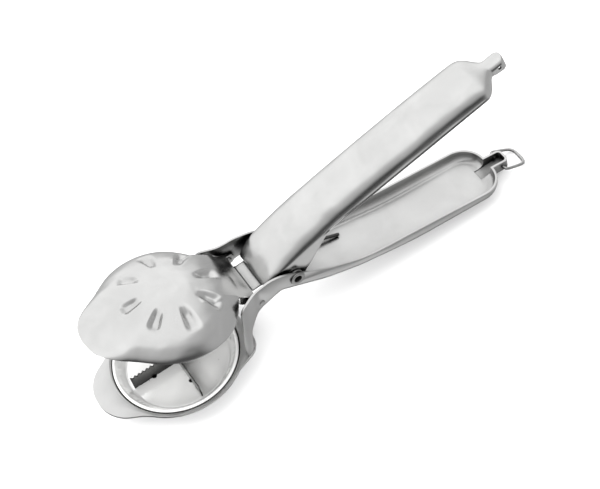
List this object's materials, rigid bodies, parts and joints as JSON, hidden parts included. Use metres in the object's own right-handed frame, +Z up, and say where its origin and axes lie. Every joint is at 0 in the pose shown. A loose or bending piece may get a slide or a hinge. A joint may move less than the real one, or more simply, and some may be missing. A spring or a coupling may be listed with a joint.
{
  "type": "citrus press",
  "caption": "Hand citrus press of pressed stainless steel: lipped cup with a loose bladed tray, a dimpled dome, two long handles, a return spring and a wire locking bail.",
  "frame": {"origin": "centre of the cup's flat base, on the plane the press stands on", "axes": "+X from the cup towards the handles, +Y across the press, +Z up through the cup"},
  "size_m": [0.2712, 0.0748, 0.0945],
  "materials": {
    "pressed_steel": "satin",
    "polished_steel": "polished",
    "rivet_steel": "satin",
    "spring_steel": "satin"
  },
  "bodies": {
    "lower": {"lower_body": "pressed_steel", "pivot_tube": "rivet_steel", "near_pivot_washer": "rivet_steel", "far_pivot_washer": "rivet_steel", "near_dome_trunnion": "rivet_steel", "far_dome_trunnion": "rivet_steel", "return_spring": "spring_steel"},
    "tray": {"juice_tray": "polished_steel", "long_blade": "polished_steel", "cross_blade": "polished_steel"},
    "dome": {"press_dome": "pressed_steel"},
    "upper": {"upper_handle": "pressed_steel", "lift_pin": "rivet_steel"},
    "bail": {"locking_bail": "spring_steel"}
  },
  "joints": [
    {"name": "handle_hinge", "type": "hinge", "parent": "lower", "child": "upper", "pos_m": [0.072, 0, 0.042], "axis": [0, -1, 0], "range_deg": [-28, 0], "stiffness_Nm_per_rad": 1.2, "springref_deg": 28.65, "deforming": ["return_spring"]},
    {"name": "dome_hinge", "type": "hinge", "parent": "lower", "child": "dome", "pos_m": [0.0495, 0, 0.041], "axis": [0, 1, 0], "range_deg": [-30, 0]},
    {"name": "tray_lift", "type": "slide", "parent": "lower", "child": "tray", "axis": [0, 0, 1], "range_m": [0, 0.003]},
    {"name": "bail_hinge", "type": "hinge", "parent": "lower", "child": "bail", "pos_m": [0.209, 0, 0.0074], "axis": [0, 1, 0], "range_deg": [-80, 40]}
  ],
  "couplings": [
    {"joint": "dome_hinge", "follows": "handle_hinge", "ratio": 1.0714}
  ]
}
